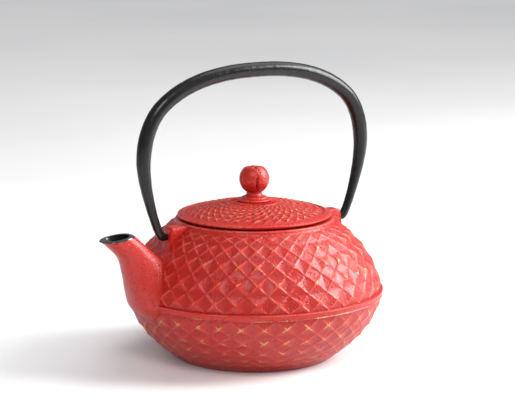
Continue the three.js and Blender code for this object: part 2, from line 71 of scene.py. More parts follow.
# %% Grids, faces and meshes
def skin(grid, across=None, loop=False):
    """Triangles over a grid of shape (rows, columns, 3) whose columns close into rings.
    Each square is cut from its first corner, or the other way where `across` is true. With `loop`
    the last row joins the first; otherwise a fan round an added middle point closes each end."""
    rows, columns = grid.shape[:2]
    points = grid.reshape(-1, 3)
    number = np.arange(rows * columns).reshape(rows, columns)
    low = number if loop else number[:-1]
    high = np.roll(number, -1, 0) if loop else number[1:]
    low_next, high_next = np.roll(low, -1, 1), np.roll(high, -1, 1)
    cut = np.zeros(low.shape, bool) if across is None else across
    cut = cut[..., None]
    first = np.where(cut, np.stack([low, low_next, high], -1), np.stack([low, low_next, high_next], -1))
    second = np.where(
        cut, np.stack([low_next, high_next, high], -1), np.stack([low, high_next, high], -1)
    )
    faces = [first.reshape(-1, 3), second.reshape(-1, 3)]
    if not loop:
        bottom, top = rows * columns, rows * columns + 1
        points = np.vstack([points, grid[0].mean(0), grid[-1].mean(0)])
        start, end = number[0], number[-1]
        faces.append(np.stack([np.full(columns, bottom), np.roll(start, -1), start], -1))
        faces.append(np.stack([np.full(columns, top), end, np.roll(end, -1)], -1))
    return points, np.vstack(faces)


def around(turn, radius, height):
    """Points at the given angles about the Z axis: x = r cos a, y = r sin a, z = height."""
    return np.stack([radius * np.cos(turn), radius * np.sin(turn), height + 0 * turn], -1)


def ring_at(outline, turn):
    """Each (radius, height) of an outline, carried round to the given angles."""
    outline = np.asarray(outline, float)
    return around(turn, outline[:, :1], outline[:, 1:2])


def turned(outline, columns):
    """An outline carried round to evenly spaced angles, the first of them on the X axis."""
    return ring_at(outline, np.arange(columns) * (2 * np.pi / columns))


def joined(shells):
    """Several shells as one: their points stacked, and their faces counted on."""
    counts = np.cumsum([0] + [len(points) for points, _ in shells[:-1]])
    faces = [faces + start for (_, faces), start in zip(shells, counts)]
    return np.vstack([points for points, _ in shells]), np.vstack(faces)


def add_mesh(name, shell, crease=35):
    """An object from a shell in millimetres, smooth except over edges sharper than `crease` degrees."""
    points, faces = shell
    mesh = bpy.data.meshes.new(name)
    mesh.from_pydata((points / 1000).tolist(), [], faces.tolist())
    mesh.shade_smooth()
    mesh.set_sharp_from_angle(angle=math.radians(crease))
    made = bpy.data.objects.new(name, mesh)
    bpy.context.scene.collection.objects.link(made)
    return made


def points_of(piece):
    """The points of a piece in millimetres, as an array of shape (n, 3)."""
    found = np.empty(len(piece.data.vertices) * 3)
    piece.data.vertices.foreach_get("co", found)
    return found.reshape(-1, 3) * 1000


def paint(piece, **masks):
    """Writes each mask, a number from 0 to 1 for each point, as an attribute that materials read."""
    for name, values in masks.items():
        layer = piece.data.attributes.new(name, "FLOAT", "POINT")
        layer.data.foreach_set("value", np.clip(values, 0, 1).astype(np.float32))


def smoothstep(value, start, end):
    """0 before start, 1 after end, and 3t^2 - 2t^3 between them."""
    t = np.clip((value - start) / (end - start), 0, 1)
    return t * t * (3 - 2 * t)


def spline(points, at):
    """Uniform Catmull-Rom: a cubic between neighbours whose slope at each point is half of the step
    from the point before it to the point after it. `at` runs from 0 to 1."""
    points = np.asarray(points, float)
    last = len(points) - 1
    step = np.minimum((at * last).astype(int), last - 1)
    t = at * last - step
    if points.ndim > 1:
        t = t[:, None]
    before, here = points[np.maximum(step - 1, 0)], points[step]
    there, after = points[step + 1], points[np.minimum(step + 2, last)]
    slope, next_slope = (there - before) / 2, (after - here) / 2
    cubic = 2 * here - 2 * there + slope + next_slope
    square = 3 * there - 3 * here - 2 * slope - next_slope
    return cubic * t**3 + square * t**2 + slope * t + here


def finished(piece, body, slot, *nodes):
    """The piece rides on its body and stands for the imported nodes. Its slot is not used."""
    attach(piece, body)
    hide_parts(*nodes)
    print(f"{piece.name}: {len(piece.data.polygons)} faces")
    return piece


# %% [markdown]
# ## The relief
# The casting's outside carries rows of four-sided pyramids, a little smaller row by row towards the
# mouth and the foot. They could be instanced, or displaced from a texture. Here their height is a
# formula over the body's own grid, so that each crease falls on an edge and the points meet the
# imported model's outside: a cell's coordinates a and b run from -1 to 1 across and up, and the height
# falls from the middle to the border with the larger of |a| and |b|.

# %% The body's outline and its pyramids
EQUATOR = 38.0
PANEL_RADIUS = 74.5
ROUNDNESS = 1.8
COLLAR_RADIUS, SHOULDER = 46.0, 79.4
FOOT_RADIUS, FOOT_CHAMFER = 46.0, 0.8


def share_left(share):
    """What a superellipse of the body's roundness leaves of one side, given a share of the other."""
    return np.clip(1 - np.abs(share) ** ROUNDNESS, 0, 1) ** (1 / ROUNDNESS)


UPPER_RISE = (SHOULDER - EQUATOR) / share_left((COLLAR_RADIUS + 1.3) / PANEL_RADIUS)
LOWER_DROP = (EQUATOR - FOOT_CHAMFER) / share_left(FOOT_RADIUS / PANEL_RADIUS)


class Band:
    """One half of the body: its arc between two heights, the rows of cells on it with their depths,
    and the number and angle of the columns. The rows' borders are heights that run away from the
    equator, kept as lengths along the arc."""

    def __init__(self, rise, borders, depths, columns, apex_angle):
        heights = np.linspace(borders[0], borders[-1], 4001)
        radii = PANEL_RADIUS * share_left((heights - EQUATOR) / rise)
        steps = np.hypot(np.diff(heights), np.diff(radii))
        self.run = np.concatenate([[0], np.cumsum(steps)])
        self.heights, self.radii = heights, radii
        self.toward = np.sign(borders[-1] - borders[0])
        self.borders = np.interp(
            np.abs(np.asarray(borders) - borders[0]), np.abs(heights - borders[0]), self.run
        )
        self.depths = np.asarray(depths, float)
        self.columns = columns
        self.apex_angle = math.radians(apex_angle)

    def place(self, run):
        """Radius, height and inward direction at an arc length from the band."""
        radius, height = np.interp(run, self.run, self.radii), np.interp(run, self.run, self.heights)
        ahead, behind = np.clip(run + 0.05, 0, self.run[-1]), np.clip(run - 0.05, 0, self.run[-1])
        dr = np.interp(ahead, self.run, self.radii) - np.interp(behind, self.run, self.radii)
        dz = np.interp(ahead, self.run, self.heights) - np.interp(behind, self.run, self.heights)
        size = np.hypot(dr, dz)
        return radius, height, -np.abs(dz) / size, -self.toward * np.abs(dr) / size


upper = Band(UPPER_RISE, [39.7, 50.3, 60.2, 68.9, 75.6, 79.35], [1.35, 1.35, 1.3, 1.1, 0.7], 38, -120.3)
lower = Band(-LOWER_DROP, [36.3, 26.0, 18.2, 11.6, 7.2, 3.9], [1.35, 1.3, 1.15, 0.95, 0.6], 36, -127.3)


RIDGE_WIDTH = 0.12
FACE_SHARE, RIDGE_SHARE = 0.74, 0.26


def creases(a, b, width=RIDGE_WIDTH):
    """The larger of |a| and |b|, which grows from a cell's middle to its border, and how near a
    point is to one of the four ridges: e to the power of minus ((|a| - |b|) / width) squared."""
    return np.maximum(np.abs(a), np.abs(b)), np.exp(-(((np.abs(a) - np.abs(b)) / width) ** 2))


def pyramid(a, b):
    """A four-sided pyramid with hollow faces. Its faces are one less the larger of |a| and |b|, to
    the power 1.55, so that they are level at the border. The rest of its height is a narrow ridge
    where |a| equals |b|, filled up round the point."""
    larger, near_ridge = creases(a, b)
    ridge = near_ridge * smoothstep(larger, 0.05, 0.4)
    point = 1 - smoothstep(larger, 0.0, 0.4)
    return FACE_SHARE * (1 - larger) ** 1.55 + RIDGE_SHARE * ridge + RIDGE_SHARE * point


def hand_cast(rows, columns, seed):
    """Five numbers for each cell: the share of full height that its pyramid reaches, as a pattern
    maker's hand leaves it, and how much gold the brush left on each of its four ridges."""
    draw = np.random.default_rng(seed)
    return draw.uniform(0.84, 1.0, (rows, columns)), draw.uniform(0.0, 1.0, (4, rows, columns))


def gold_stroke(a, b, amounts):
    """Where a dry brush touches a pyramid: its point, and a short way down each of its four ridges,
    as far as the amount of gold left for that ridge says. The larger of the two is kept."""
    larger, on_ridge = creases(a, b)
    above = np.where(a > 0, amounts[0], amounts[1])
    amount = np.where(b > 0, above, np.where(a > 0, amounts[2], amounts[3]))
    reach = 0.08 + 0.4 * amount
    stroke = on_ridge * (1 - smoothstep(larger, reach * 0.6, reach * 1.25)) * (0.3 + 0.55 * amount)
    point = (1 - smoothstep(larger, 0.08, 0.22)) * (0.4 + 0.3 * amounts.mean(0))
    return np.maximum(stroke, point)


def ridge_line(a, b):
    """1 along the four ridges and the point, fading towards the faces and the border."""
    larger, near_ridge = creases(a, b, 0.13)
    return near_ridge * (1 - smoothstep(larger, 0.75, 1.0))


def relief_grid(half, steps, seed):
    """Points of one half's relief, from the band outwards, and where each square is cut across.
    A point lies on the arc, pushed inwards by the row's depth times one less the pyramid."""
    rows = len(half.depths)
    fraction = np.arange(steps) / steps
    run = np.concatenate(
        [half.borders[i] + fraction * (half.borders[i + 1] - half.borders[i]) for i in range(rows)]
        + [[half.borders[-1]]]
    )
    row = np.minimum(np.arange(len(run)) // steps, rows - 1)
    b = np.where(np.arange(len(run)) == rows * steps, 1, 2 * (np.arange(len(run)) % steps) / steps - 1)
    column = np.arange(half.columns * steps) // steps
    a = 2 * (np.arange(half.columns * steps) % steps) / steps - 1
    turn = half.apex_angle + (np.arange(half.columns * steps) / steps - 0.5) * 2 * np.pi / half.columns
    radius, height, inward_r, inward_z = half.place(run)
    full, gold = (each[..., row, :][..., column] for each in hand_cast(rows, half.columns, seed))
    raised = full * np.clip(pyramid(a[None], b[:, None]), 0, 1)
    sink = half.depths[row][:, None] * (1 - raised)
    r = radius[:, None] + inward_r[:, None] * sink
    z = height[:, None] + inward_z[:, None] * sink
    grid = around(turn, r, z)
    middle_a, middle_b = a + 1 / steps, (b + 1 / steps)[:-1]
    # The rise mask is the pyramid's height; the red enamel paints the low parts darker, as painted shade in
    # the valleys.
    masks = {
        "rise": raised,
        "gold": gold_stroke(a[None], b[:, None], gold),
        "ridge": ridge_line(a[None], b[:, None]),
    }
    return grid, middle_a[None] * middle_b[:, None] < 0, turn, masks


STEPS = 12  # squares across one pyramid
upper_grid, upper_cut, upper_turn, upper_masks = relief_grid(upper, STEPS, 11)
lower_grid, lower_cut, lower_turn, lower_masks = relief_grid(lower, STEPS, 23)
UPPER_GOLD, LOWER_WEAR = 0.64, 0.45  # the top half holds less gold, the lower half is worn less
upper_masks["gold"] *= UPPER_GOLD
lower_masks["ridge"] *= LOWER_WEAR
print("relief grids", upper_grid.shape, lower_grid.shape)

# %% [markdown]
# ## The body as two closed halves and a band
# The upper half has 38 columns of pyramids and the lower half 36, so one grid can't carry both. Each
# half is made as its own closed solid, cut off inside the equator band, and the band is a third
# solid: a strip between two beads that hides the change. A Boolean modifier joins them later.

# %% The two halves and the equator band
MOUTH = 81.2


def quarter(centre, radius, start, end, count=4):
    """Points of an arc round a centre, between two angles in degrees."""
    turn = np.radians(np.linspace(start, end, count + 1))
    return [[centre[0] + radius * math.cos(t), centre[1] + radius * math.sin(t)] for t in turn]


BEHIND_BAND = 73.2  # the radius at which both halves end, inside the band
below = ring_at([[20, 36.2], [60, 36.2], [BEHIND_BAND, 36.2], [BEHIND_BAND, 39.2]], upper_turn)
collar_foot = [[46.6, 79.45], [46.15, 79.6], [46.0, 79.9]]
collar_bead = quarter((45.1, 80.3), 0.9, 0, 90, 5)
collar = ring_at(collar_foot + collar_bead + [[38, MOUTH], [20, MOUTH]], upper_turn)
upper_half = np.vstack([below, upper_grid, collar])
foot = ring_at(
    [[48.6, 2.3], [46.6, 1.0], [46.0, 0.6], [45.3, 0.0], [33.4, 0.0], [32.2, 1.2], [21.2, 1.2],
     [20, 0], [8, 0]],
    lower_turn,
)
above = ring_at([[BEHIND_BAND, 36.9], [BEHIND_BAND, 38.6], [60, 38.6], [20, 38.6]], lower_turn)
lower_half = np.vstack([foot[::-1], lower_grid[::-1], above])
# the squares of the plain rows are all cut from their first corner
upper_flip = np.pad(upper_cut, ((len(below), len(collar)), (0, 0)))
lower_flip = np.pad(~lower_cut[::-1], ((len(foot), len(above)), (0, 0)))

PLAIN = {"rise": 0.62, "gold": 0.0, "ridge": 0.12}  # the masks away from any relief


def with_plain_rows(masks, before, after):
    """The masks of a relief grid with plain rows before and after, and the two fans' middle points."""
    rows = {}
    for name, values in masks.items():
        wide = values.shape[1]
        parts = [np.full((before, wide), PLAIN[name]), values, np.full((after, wide), PLAIN[name])]
        rows[name] = np.concatenate([np.vstack(parts).ravel(), [PLAIN[name]] * 2])
    return rows


upper_paint = with_plain_rows(upper_masks, len(below), len(collar))
bead_start, bead_end = ((len(below) + len(upper_grid) + row) * len(upper_turn) for row in (4, 8))
upper_paint["ridge"][bead_start:bead_end] = 0.95  # the enamel wears off the mouth's bead
upper_paint["rise"][bead_end:-2] = -1.0  # the flat ring inside it is painted darkest, as painted shadow under the lid's edge
lower_paint = with_plain_rows({n: v[::-1] for n, v in lower_masks.items()}, len(foot), len(above))
lower_paint["rise"][: len(foot) * len(lower_turn)] = -0.9  # painted shade: the foot's rows are painted nearly darkest, as the shade under the pot
band_outline = [
    [70, 35.8], [73.9, 35.9], [74.5, 36.1], [74.7, 36.35], [74.62, 36.7], [74.45, 36.9], [74.45, 38.8],
    [74.62, 39.05], [74.97, 39.3], [74.97, 39.65], [74.6, 39.95], [73.6, 40.1], [70, 40.2],
]
band_grid = turned(band_outline, 360)
print("upper half", upper_half.shape, "lower half", lower_half.shape)

# %% [markdown]
# ## The spout
# The spout is a short funnel with a squarish section: its front and back edges follow two curves in
# the pot's middle plane, and each ring between them is a superellipse, which leaves a soft ridge
# between the front face and the sides. It could be a subdivided cage, but rings carried along two
# measured edges keep the silhouette exact. The passage inside is a second, thinner tube.

# %% Spout and passage
TIP = np.array([-90.2, 78.1])  # x and z of the mouth's middle
TILT = math.radians(7.5)
LIP = np.array([-math.cos(TILT), -math.sin(TILT)])  # from the mouth's middle to its front
LIP_HALF = 9.7
SPOUT_ROWS, SPOUT_SIDES, PASSAGE_SIDES = 46, 88, 56


def squared_ring(front, back, half_width, squareness, columns):
    """Rings between two edges: along and across are sign(cos)|cos|^(2/n) and sign(sin)|sin|^(2/n)."""
    turn = np.arange(columns) * (2 * np.pi / columns)
    along = np.sign(np.cos(turn)) * np.abs(np.cos(turn)) ** (2 / squareness)
    across = np.sign(np.sin(turn)) * np.abs(np.sin(turn)) ** (2 / squareness)
    share = (1 + along) / 2
    x = back[:, :1] + (front[:, :1] - back[:, :1]) * share
    z = back[:, 1:] + (front[:, 1:] - back[:, 1:]) * share
    return np.stack([x, -across * half_width[:, None], z], -1)


from_tip = np.array([[20, -50], [11.5, -43], [7.6, -33], [4.6, -22], [1, -11.5]])
front_edge = np.vstack([TIP + from_tip, TIP + LIP * LIP_HALF])
from_tip = np.array([[30, -47], [30, -35], [30, -25], [28, -16], [19.5, -8]])
back_edge = np.vstack([TIP + from_tip, TIP - LIP * LIP_HALF])
half_widths = [11.55, 16.5, 14.85, 10.89, 8.68, 8.35]
spout_at = np.linspace(0, 1, SPOUT_ROWS)
spout_lines = (spline(line, spout_at) for line in (front_edge, back_edge, half_widths))
spout_grid = squared_ring(*spout_lines, 2.4, SPOUT_SIDES)
# the lip is rounded over by drawing its last rings in towards their middle
lip_middle = spout_grid[-1].mean(0)
rounding = np.array([[0.985, -0.15], [0.955, 0.0]])
lip_rings = [
    lip_middle + (spout_grid[-1] - lip_middle) * size + np.array([0, 0, lift]) for size, lift in rounding
]
spout_grid = np.concatenate([spout_grid[:-1], spout_grid[-1:] + [0, 0, -0.5], np.stack(lip_rings)])


def smooth_path(points, spacing):
    """Centripetal Catmull-Rom through points, sampled evenly by length: each span is a cubic whose
    end slopes weigh the chords beside it by the square root of their lengths."""
    points = np.asarray(points, float)
    points = np.vstack([2 * points[0] - points[1], points, 2 * points[-1] - points[-2]])
    gap = np.sqrt(np.linalg.norm(np.diff(points, axis=0), axis=1))[:, None]
    p0, p1, p2, p3 = points[:-3], points[1:-2], points[2:-1], points[3:]
    d0, d1, d2 = gap[:-2], gap[1:-1], gap[2:]
    slope = ((p1 - p0) / d0 - (p2 - p0) / (d0 + d1) + (p2 - p1) / d1) * d1
    end_slope = ((p2 - p1) / d1 - (p3 - p1) / (d1 + d2) + (p3 - p2) / d2) * d1
    t = (np.arange(64) / 64)[None, :, None]
    spans = [p1, slope, -3 * p1 + 3 * p2 - 2 * slope - end_slope, 2 * p1 - 2 * p2 + slope + end_slope]
    line = sum(term[:, None] * t**power for power, term in enumerate(spans)).reshape(-1, points.shape[1])
    line = np.vstack([line, points[-2]])
    run = np.concatenate([[0], np.cumsum(np.linalg.norm(np.diff(line, axis=0), axis=1))])
    even = np.linspace(0, run[-1], max(2, round(run[-1] / spacing)))
    return np.stack([np.interp(even, run, axis) for axis in line.T], -1), even


passage_route, passage_run = smooth_path(
    [TIP + p for p in ([34, -40], [23, -34], [15, -24], [10.5, -13], [0, 0], [-4, 4.5])], 1.2
)
open_share = smoothstep(passage_run / passage_run[-1], 0.5, 0.85)[:, None]
INNER_HALF, MOUTH_LONG, MOUTH_WIDE = 6.6, 7.5, 6.15  # half sizes of the passage, inside and at the mouth
long_half = INNER_HALF + (MOUTH_LONG - INNER_HALF) * open_share
wide_half = INNER_HALF + (MOUTH_WIDE - INNER_HALF) * open_share[:, 0]
passage_grid = squared_ring(
    passage_route + LIP * long_half, passage_route - LIP * long_half, wide_half, 2.2, PASSAGE_SIDES
)
print("spout", spout_grid.shape, "passage", passage_grid.shape, "mm long", round(float(passage_run[-1]), 1))

# %% [markdown]
# ## Lugs, sockets and the hollow
# Two lugs on the shoulder hold the handle's ends in blind holes. The hollow for the tea follows the
# outside at the thickness of the wall and opens through the mouth, where a ledge carries the
# strainer. In a foundry a sand core leaves that hollow; here it is one closed solid to cut away.

# %% Lugs, sockets and hollow
HINGE = 75.2
LUG_REACH = float(PANEL_RADIUS * share_left((HINGE - EQUATOR) / UPPER_RISE)) + 5.2
LUG_TOP, LUG_ROUND = 80.8, 1.7


def lug_face(height):
    """How far out a lug's face is at a height: it leans out towards its foot."""
    return LUG_REACH + 1.6 * (HINGE - height) / (2 * (LUG_TOP - HINGE))


def lug_block(side):
    """A lug: its side outline repeated across its width, drawn in at both edges to round them."""
    foot = HINGE - 2 * (LUG_TOP - HINGE) + 2
    top_corner = quarter((lug_face(79.0) - LUG_ROUND, LUG_TOP - LUG_ROUND), LUG_ROUND, 90, 0, 5)
    face = lug_face(foot)
    lower_edge = [[face - 0.1, foot + 0.8], [face - 0.9, foot], [face - 4, foot]]
    outline = np.array([[44, foot + 4], [44, LUG_TOP]] + top_corner + lower_edge)
    inner = outline.mean(0)
    across = np.array([-4.3, -4.15, -3.7, -3.2, 3.2, 3.7, 4.15, 4.3])[:, None]
    size = np.array([0.92, 0.96, 0.99, 1, 1, 0.99, 0.96, 0.92])[:, None, None]
    flat = inner + (outline - inner) * size
    grid = np.stack([flat[..., 0], across + 0 * flat[..., 0], flat[..., 1]], -1)
    return skin(grid * ([1, 1, 1] if side > 0 else [-1, -1, 1]))


def socket(side):
    """A blind round hole for a pin of the handle, along X."""
    hole, flare = 2.2, 2.6
    steps = ((hole, -5.6), (hole, -0.6), (flare, 0.3), (flare, 3))
    outline = [[radius, LUG_REACH + out] for radius, out in steps]
    grid = turned(outline, 32)
    swapped = np.stack([grid[..., 2], grid[..., 0], grid[..., 1]], -1)
    return skin(swapped * ([1, 1, 1] if side > 0 else [-1, -1, 1]))


def wall_inside(half, thickness):
    """The arc of one half pushed in by the wall, from the band outwards."""
    radius, height, inward_r, inward_z = half.place(np.linspace(1.5, half.run[-1], 15))
    return np.column_stack([radius + inward_r * thickness, height + inward_z * thickness])


WALL, FLOOR, CEILING = 4.0, 4.5, 76.4
BORE, REBATE, LEDGE = 35.0, 39.0, 79.2
lower_wall = wall_inside(lower, WALL)[::-1]
lower_wall = lower_wall[lower_wall[:, 1] > FLOOR + 0.8]
upper_wall = wall_inside(upper, WALL)
upper_wall = upper_wall[(upper_wall[:, 1] < 76.2) & (upper_wall[:, 0] > BORE + 0.5)]
hollow_outline = np.vstack([
    [[10, FLOOR], [lower_wall[0, 0] - 5, FLOOR], [lower_wall[0, 0] - 1.5, FLOOR + 0.25]],
    lower_wall, upper_wall,
    [[upper_wall[-1, 0] - 1.5, CEILING], [BORE, CEILING], [BORE, LEDGE], [REBATE, LEDGE],
     [REBATE, MOUTH - 0.3], [REBATE + 0.6, MOUTH + 0.3], [REBATE + 0.6, MOUTH + 3], [10, MOUTH + 3]],
])
hollow_grid = turned(hollow_outline, 180)
print("hollow", hollow_grid.shape, "lug reach", round(LUG_REACH, 2))

# %% [markdown]
# ## One casting
# The real pot is a single pour of iron, so the halves, the band, the spout and the lugs become one
# closed surface. Merging by hand would mean stitching thousands of edges. The Boolean modifier's
# manifold solver does it exactly, and every face keeps the finish of the solid it came from: red
# enamel outside, black enamel where the hollow, the sockets and the passage were cut.

# %% The Boolean and the finishes that it carries
red_enamel = bpy.data.materials.new("cast_red_enamel")
lining_enamel = bpy.data.materials.new("cast_black_enamel")


def with_finish(piece, *materials):
    """The piece, with the materials in its slots in this order."""
    for material in materials:
        piece.data.materials.append(material)
    return piece


def boolean(target, tools, operation):
    """Joins the tools to the target, or cuts them from it, and takes the result as its mesh."""
    for tool in tools:
        change = target.modifiers.new(tool.name, "BOOLEAN")
        change.operation, change.solver, change.object = operation, "MANIFOLD", tool
    bpy.context.view_layer.update()
    evaluated = target.evaluated_get(bpy.context.evaluated_depsgraph_get())
    result = bpy.data.meshes.new_from_object(evaluated)
    target.modifiers.clear()
    target.data = result
    for tool in tools:
        bpy.data.objects.remove(tool)
    return target


# %% Join the casting and cut its hollow
def solid_piece(name, shell, black=False, masks=None):
    """A closed solid with both finishes in its slots, all in one of them, and its masks painted."""
    made = with_finish(add_mesh(name, shell), red_enamel, lining_enamel)
    count = len(made.data.vertices)
    paint(made, **(masks or {mask: np.full(count, value) for mask, value in PLAIN.items()}))
    if black:
        made.data.polygons.foreach_set("material_index", np.ones(len(made.data.polygons), np.int32))
    return made


band_points, band_faces = skin(band_grid, loop=True)
band_out, band_height = np.hypot(band_points[:, 0], band_points[:, 1]), band_points[:, 2]
band_turn = np.arctan2(band_points[:, 1], band_points[:, 0])
brush_runs = 0.5 + 0.5 * np.sin(7 * band_turn + 1) * np.sin(19 * band_turn)
band_paint = {
    "rise": np.where(band_out > 74.5, 0.8, 0.35),
    "gold": np.where((band_out > 74.55) & (band_height < 37), 0.08 + 0.42 * brush_runs, 0.0),
    "ridge": np.where((band_out > 74.7) & (band_height > 39), 1.0, 0.0),
}
pot_casting = solid_piece("pot_casting", skin(upper_half, upper_flip), masks=upper_paint)
spout_points, spout_faces = skin(spout_grid)
spout = solid_piece("spout", (spout_points, spout_faces))
BLACK_LIP = 0.95  # how far the lining comes down over the lip
below_lip = spout_points[spout_faces].mean(1) @ np.array([math.sin(TILT), 0, -math.cos(TILT)])
is_lip = below_lip < below_lip.min() + BLACK_LIP
spout.data.polygons.foreach_set("material_index", is_lip.astype(np.int32))
boolean(
    pot_casting,
    [
        solid_piece("lower_half", skin(lower_half, lower_flip), masks=lower_paint),
        solid_piece("band", (band_points, band_faces), masks=band_paint),
        spout,
        solid_piece("lug_right", lug_block(1)),
        solid_piece("lug_left", lug_block(-1)),
    ],
    "UNION",
)
boolean(
    pot_casting,
    [
        solid_piece("hollow", skin(hollow_grid), black=True),
        solid_piece("passage", skin(passage_grid), black=True),
        solid_piece("socket_right", socket(1), black=True),
        solid_piece("socket_left", socket(-1), black=True),
    ],
    "DIFFERENCE",
)
pot_casting.data.shade_smooth()
pot_casting.data.set_sharp_from_angle(angle=math.radians(38))
POT_NODES = ("pot_base", "pot_lower_wall", "pot_upper_wall", "pot_shoulder", "pot_spout")
finished(pot_casting, "pot", "red_enamel", *POT_NODES)

# %% [markdown]
# ## Small turned parts
# The rim of the strainer, the washer and the knob's foot are turned or pressed, and no real edge on
# them is sharp. A Bevel modifier could round them; cutting the corners of the outline with short
# curves before it is turned gives the same rounding with fewer faces.

# %% Rounded outlines
def rounded(outline, radius, steps=3):
    """Each corner of a closed outline replaced by a quadratic curve. The curve starts and ends
    `radius` from the corner, or at 45% of a shorter side."""
    corner = np.asarray(outline, float)
    back, ahead = np.roll(corner, 1, 0) - corner, np.roll(corner, -1, 0) - corner
    reach_back = np.minimum(radius / np.linalg.norm(back, axis=1), 0.45)[:, None]
    reach_ahead = np.minimum(radius / np.linalg.norm(ahead, axis=1), 0.45)[:, None]
    start, end = (corner + back * reach_back)[:, None], (corner + ahead * reach_ahead)[:, None]
    t = np.linspace(0, 1, steps + 1)[None, :, None]
    return ((1 - t) ** 2 * start + 2 * t * (1 - t) * corner[:, None] + t**2 * end).reshape(-1, 2)


def turned_piece(name, outline, columns=96):
    """A ring-shaped piece from a closed outline."""
    return add_mesh(name, skin(turned(outline, columns), loop=True))


# %% [markdown]
# ## The lid
# The lid repeats the body's pyramids in smaller rows round a shallow dome, with a plain border
# outside them and fine ribs next to the knob's foot. The same pyramid formula is used, but its cells
# are counted in the radius. Underneath, a skirt keeps the lid in the strainer's mouth.

# %% The lid's dome and relief
LID_EDGE, LID_TOP, LID_FLAT, LID_REACH = 83.8, 90.7, 11.0, 44.0
LID_CELLS, LID_STEPS = 38, 8
lid_borders = np.array([40.0, 34.6, 29.7, 25.3, 21.3, 17.7, 14.5])
lid_depths = np.array([0.9, 0.9, 0.85, 0.75, 0.65, 0.5])


def dome(radius):
    """Height of the lid's outside: a spherical cap from the rim's edge to the flat middle."""
    rise = LID_TOP - LID_EDGE
    cap = (LID_REACH**2 - LID_FLAT**2 + rise**2) / (2 * rise)
    ball = math.hypot(cap, LID_FLAT)
    return LID_TOP - cap + np.sqrt(ball**2 - np.maximum(radius, LID_FLAT) ** 2)


lid_columns = LID_CELLS * LID_STEPS
lid_turn = math.radians(-124) + np.arange(lid_columns) * 2 * np.pi / lid_columns
lid_a = 2 * (np.arange(lid_columns) % LID_STEPS) / LID_STEPS - 1
lid_rows = len(lid_depths)
lid_step = np.arange(lid_rows * LID_STEPS + 1)
lid_row = np.minimum(lid_step // LID_STEPS, lid_rows - 1)
lid_b = 2 * (lid_step - lid_row * LID_STEPS) / LID_STEPS - 1
lid_radius = lid_borders[lid_row] + (lid_b + 1) / 2 * (lid_borders[lid_row + 1] - lid_borders[lid_row])
lid_full, lid_gold = hand_cast(lid_rows, LID_CELLS, 5)
lid_column = np.arange(lid_columns) // LID_STEPS
lid_raised = lid_full[lid_row][:, lid_column] * np.clip(pyramid(lid_a[None], lid_b[:, None]), 0, 1)
lid_height = dome(lid_radius)[:, None] - lid_depths[lid_row][:, None] * (1 - lid_raised)

# %% The rest of the lid, from the screw's hole to the knob's foot
LID_WALL, SCREW_HOLE = 3.2, 2.35
lid_under = [[SCREW_HOLE, 87.5]] + [[r, float(dome(r)) - LID_WALL] for r in (6.6, 13, 19, 25, 30.2)]
lid_under += [[30.2, 77.2], [30.9, 76.5], [31.7, 76.5], [32.4, 77.2], [32.4, 81.2], [32.7, 81.5]]
lid_rim = [[42.2, 81.5], [43.2, 81.85], [43.9, 82.2], [44.4, 82.6], [44.6, 83.0], [44.5, 83.45],
           [44.05, 83.78]]
lid_border = [[r, float(dome(r))] for r in (43.3, 42.2, 41.1)]
rib_radius = np.array([14.1, 13.4, 12.6, 11.8, 11.0, 10.5])
rib_depth = np.array([0.2, 0.28, 0.32, 0.32, 0.25, 0.1])
ribs = 0.5 + 0.5 * np.cos(76 * lid_turn)
lid_grid = np.vstack([
    ring_at(lid_under + lid_rim + lid_border, lid_turn),
    around(lid_turn, lid_radius[:, None], lid_height),
    around(lid_turn, rib_radius[:, None], dome(rib_radius)[:, None] - rib_depth[:, None] * ribs),
    ring_at([[10.1, 90.66], [9.6, LID_TOP], [SCREW_HOLE, LID_TOP]], lid_turn),
])
plain_before = len(lid_under + lid_rim + lid_border)
relief_rows = slice(plain_before, plain_before + len(lid_radius))
lid_cut = np.zeros(lid_grid.shape[:2], bool)
lid_cut[plain_before : plain_before + len(lid_radius) - 1] = (
    (lid_a + 1 / LID_STEPS)[None] * (lid_b + 1 / LID_STEPS)[:-1, None] < 0
)
lid = add_mesh("lid_casting", skin(lid_grid, lid_cut, loop=True))
with_finish(lid, red_enamel, lining_enamel)
# The rise mask is the pyramids' height; the red enamel paints the valleys darker, as painted shade.
lid_masks = {
    "rise": lid_raised,
    "gold": gold_stroke(lid_a[None], lid_b[:, None], lid_gold[:, lid_row][..., lid_column]),
    "ridge": ridge_line(lid_a[None], lid_b[:, None]),
}
for name, values in lid_masks.items():
    whole = np.full(lid_grid.shape[:2], PLAIN[name])
    whole[relief_rows] = values
    if name == "ridge":  # the rim is rubbed where fingers lift it
        whole[plain_before - 6 : plain_before - 3] = 0.7
    if name == "rise":  # painted shade: the ribs' valleys are painted darker
        whole[relief_rows.stop : relief_rows.stop + len(rib_radius)] = 0.75 - 0.5 * ribs
    paint(lid, **{name: whole.ravel()})
rows_of_face = np.tile(np.repeat(np.arange(len(lid_grid)), lid_columns), 2)
lid.data.polygons.foreach_set("material_index", (rows_of_face < len(lid_under) + 1).astype(np.int32))
finished(lid, "cover", "red_enamel", "lid")

# %% [markdown]
# ## Knob, foot and screw
# The knob is a ball with five grooves up its lower half, which fade out above its middle, and a
# five-petal flower on its flat top. A sphere with loop cuts could be pinched by hand; a turned ball
# whose radius depends on the angle gives five equal grooves. It stands on a flared foot, and a screw
# from under the lid holds both.

